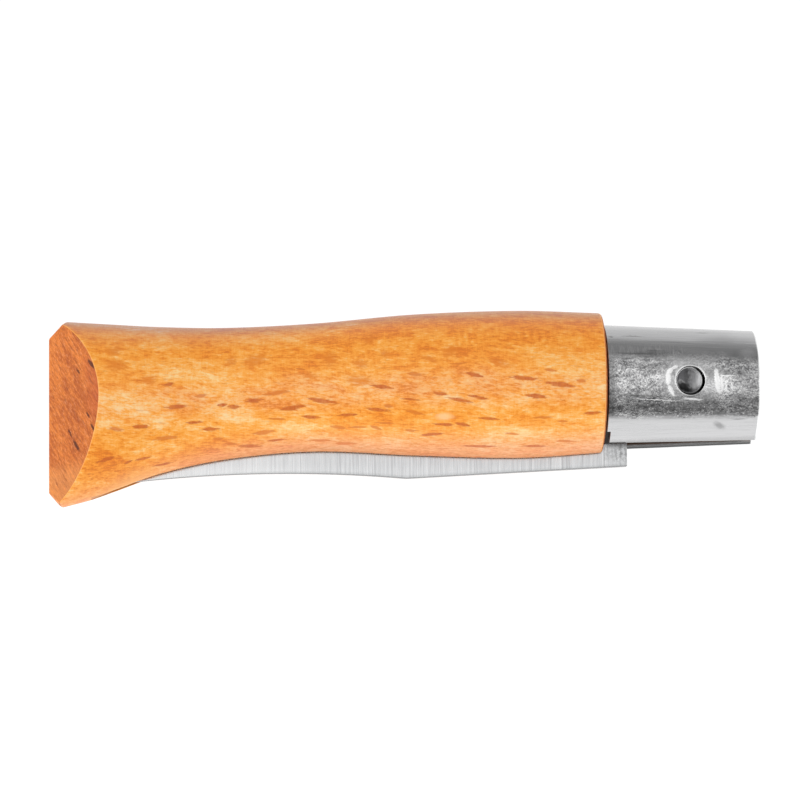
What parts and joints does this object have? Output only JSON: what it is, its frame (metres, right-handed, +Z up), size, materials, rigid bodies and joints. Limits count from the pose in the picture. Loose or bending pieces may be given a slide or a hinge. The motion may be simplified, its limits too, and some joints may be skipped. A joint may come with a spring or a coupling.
{
  "type": "folding whittling knife",
  "caption": "Small friction-folding whittling knife, closed: flared wooden handle with a sawn blade slot, slit steel collar, and a thin blade that turns on a dished rivet.",
  "frame": {"origin": "middle of the knife's box, at the height of the surface that it lies on", "axes": "+X from the butt to the collar's front rim, +Y from the slotted belly to the handle's back, +Z up, across the handle's thickness"},
  "size_m": [0.08, 0.0224, 0.0158],
  "materials": {
    "varnished_beech": "satin varnish over beech with brown ray flecks, redder on the cut butt",
    "collar_steel": "bright drawn sheet, lightly pitted, with a few tool dents by the rivet",
    "blade_steel": "satin, ground across the blade",
    "rivet_steel": "bright, dished by the punch"
  },
  "bodies": {
    "handle_group": {"handle": "varnished_beech", "collar": "collar_steel", "pivot_rivet": "rivet_steel"},
    "blade": {"blade": "blade_steel"}
  },
  "joints": [
    {"name": "blade_pivot", "type": "hinge", "parent": "handle_group", "child": "blade", "pos_m": [0.03245, 0.0024, 0.00788], "axis": [0, 0, 1], "range_deg": [0, 174]}
  ]
}
